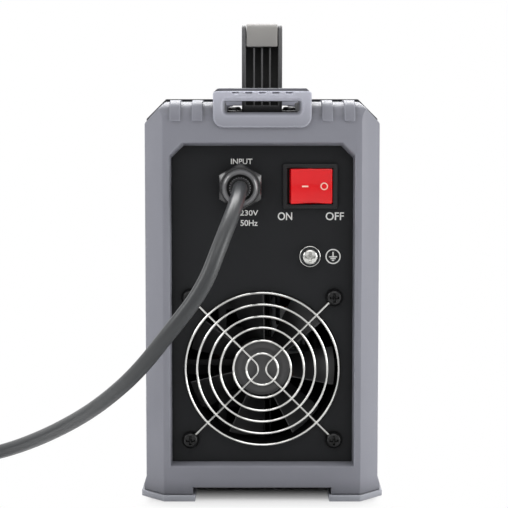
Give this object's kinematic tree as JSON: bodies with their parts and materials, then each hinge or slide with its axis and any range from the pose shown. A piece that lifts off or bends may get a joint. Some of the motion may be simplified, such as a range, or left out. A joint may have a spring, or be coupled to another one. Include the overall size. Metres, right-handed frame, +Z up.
{
  "type": "mig welding machine",
  "caption": "Compact inverter wire-feed welder with bevelled end bezels, carrying handle, fan-cooled rear panel, mains cord and a side door over the wire spool and feeder.",
  "frame": {"origin": "on the floor under the middle of the case, midway between the two end bezels", "axes": "+X to the right seen from the rear with the mains switch and door side, +Y from the rear panel to the front panel, +Z up"},
  "size_m": [0.4064, 0.3959, 0.2744],
  "materials": {
    "bezel_grey": "fine grained moulding",
    "foot_grey": "smooth moulding",
    "panel_black": "fine texture",
    "cover_black": "satin powder coat",
    "divider_zinc": "zinc plated",
    "steel": "satin",
    "handle_grey": "fine grained moulding",
    "grip_grey": "soft touch",
    "fan_black": "smooth moulding",
    "chrome": "bright plated",
    "screw_black": "black oxide",
    "switch_black": "gloss",
    "rocker_red": "gloss",
    "gland_black": "smooth moulding",
    "cord_grey": "smooth sheath",
    "brass": "machined",
    "socket_black": "smooth moulding",
    "display_dark": "clear window over dark print",
    "button_grey": "gloss",
    "board_green": "solder mask",
    "aluminium": "extruded and cast",
    "motor_grey": "satin",
    "spool_plastic": "smooth moulding",
    "wire_copper": "copper coated wire",
    "ferrite": "sintered core",
    "capacitor_sleeve": "shrink sleeve"
  },
  "bodies": {
    "case": {"rear_bezel": "bezel_grey", "front_bezel": "bezel_grey", "foot_pads": "foot_grey", "rear_panel": "panel_black", "front_panel": "panel_black", "top_cover": "cover_black", "base_tray": "cover_black", "divider_wall": "divider_zinc", "hinge_leaves": "cover_black", "hinge_pins": "steel", "handle_frame": "handle_grey", "handle_grip": "grip_grey", "handle_screws": "screw_black", "fan_frame": "fan_black", "fan_guard": "chrome", "fan_screws": "screw_black", "switch_housing": "switch_black", "gland_body": "gland_black", "gland_cap": "gland_black", "gland_seal": "cord_grey", "gland_locknut": "gland_black", "earth_screw": "chrome", "earth_washers": "chrome", "mains_cord": "cord_grey", "mains_cord_coil": "cord_grey", "mains_plug": "cord_grey", "plug_pins": "brass", "torch_screws": "screw_black", "display_window": "display_dark", "control_board": "board_green", "torch_socket_flange": "socket_black", "torch_socket": "brass", "output_socket_bodies": "socket_black", "output_socket_contacts": "brass", "feeder_plate": "aluminium", "feeder_motor": "motor_grey", "wire_guides": "brass", "spool_hub": "gland_black", "inverter_board": "board_green", "heat_sinks": "aluminium", "transformer": "ferrite", "capacitors": "capacitor_sleeve", "output_choke": "wire_copper"},
    "fan": {"fan_rotor": "fan_black"},
    "rocker": {"switch_rocker": "rocker_red"},
    "door": {"side_door": "cover_black"},
    "latch": {"door_latch": "socket_black"},
    "speed_dial": {"wire_speed_knob": "socket_black"},
    "voltage_dial": {"voltage_knob": "socket_black"},
    "mode_key": {"mode_button": "button_grey"},
    "drive": {"drive_shaft": "steel", "drive_roll": "steel"},
    "arm": {"pressure_arm": "aluminium"},
    "pinch": {"pressure_roll": "steel"},
    "tensioner": {"tension_stud": "steel", "tension_spring": "steel"},
    "tension_dial": {"tension_knob": "socket_black"},
    "spool": {"wire_spool": "spool_plastic", "wound_wire": "wire_copper"},
    "retainer": {"spool_retainer": "gland_black"}
  },
  "joints": [
    {"name": "fan_spin", "type": "hinge", "parent": "case", "child": "fan", "pos_m": [0, -0.13, 0.076], "axis": [0, 1, 0], "continuous": true},
    {"name": "rocker_tilt", "type": "hinge", "parent": "case", "child": "rocker", "pos_m": [0.0273, -0.143, 0.1809], "axis": [0, 0, 1], "range_deg": [-18, 0]},
    {"name": "door_swing", "type": "hinge", "parent": "case", "child": "door", "pos_m": [0.0686, 0.1149, 0.11], "axis": [0, 0, 1], "range_deg": [0, 110]},
    {"name": "latch_turn", "type": "hinge", "parent": "door", "child": "latch", "pos_m": [0.06725, -0.098, 0.11], "axis": [1, 0, 0], "range_deg": [0, 90]},
    {"name": "speed_dial_turn", "type": "hinge", "parent": "case", "child": "speed_dial", "pos_m": [0.026, 0.15, 0.141], "axis": [0, -1, 0], "range_deg": [0, 300]},
    {"name": "voltage_dial_turn", "type": "hinge", "parent": "case", "child": "voltage_dial", "pos_m": [-0.026, 0.15, 0.141], "axis": [0, -1, 0], "range_deg": [0, 300]},
    {"name": "mode_key_press", "type": "slide", "parent": "case", "child": "mode_key", "axis": [0, -1, 0], "range_m": [0, 0.0015], "stiffness_N_per_m": 400},
    {"name": "drive_spin", "type": "hinge", "parent": "case", "child": "drive", "pos_m": [0.027, 0.072, 0.06215], "axis": [1, 0, 0], "continuous": true},
    {"name": "arm_lift", "type": "hinge", "parent": "case", "child": "arm", "pos_m": [0.02, 0.093, 0.094], "axis": [-1, 0, 0], "range_deg": [0, 60]},
    {"name": "pinch_spin", "type": "hinge", "parent": "arm", "child": "pinch", "pos_m": [0.027, 0.072, 0.08485], "axis": [1, 0, 0], "continuous": true},
    {"name": "tensioner_swing", "type": "hinge", "parent": "case", "child": "tensioner", "pos_m": [0.038, 0.05, 0.057], "axis": [-1, 0, 0], "range_deg": [0, 40]},
    {"name": "tension_dial_turn", "type": "hinge", "parent": "tensioner", "child": "tension_dial", "pos_m": [0.038, 0.05, 0.057], "axis": [0, -0.6428, 0.766], "range_deg": [0, 720]},
    {"name": "spool_spin", "type": "hinge", "parent": "case", "child": "spool", "pos_m": [0.03, -0.052, 0.14], "axis": [1, 0, 0], "continuous": true},
    {"name": "retainer_turn", "type": "hinge", "parent": "case", "child": "retainer", "pos_m": [0.058, -0.052, 0.14], "axis": [1, 0, 0], "range_deg": [0, 720]}
  ],
  "couplings": [
    {"joint": "pinch_spin", "follows": "drive_spin", "ratio": -1.3158}
  ]
}
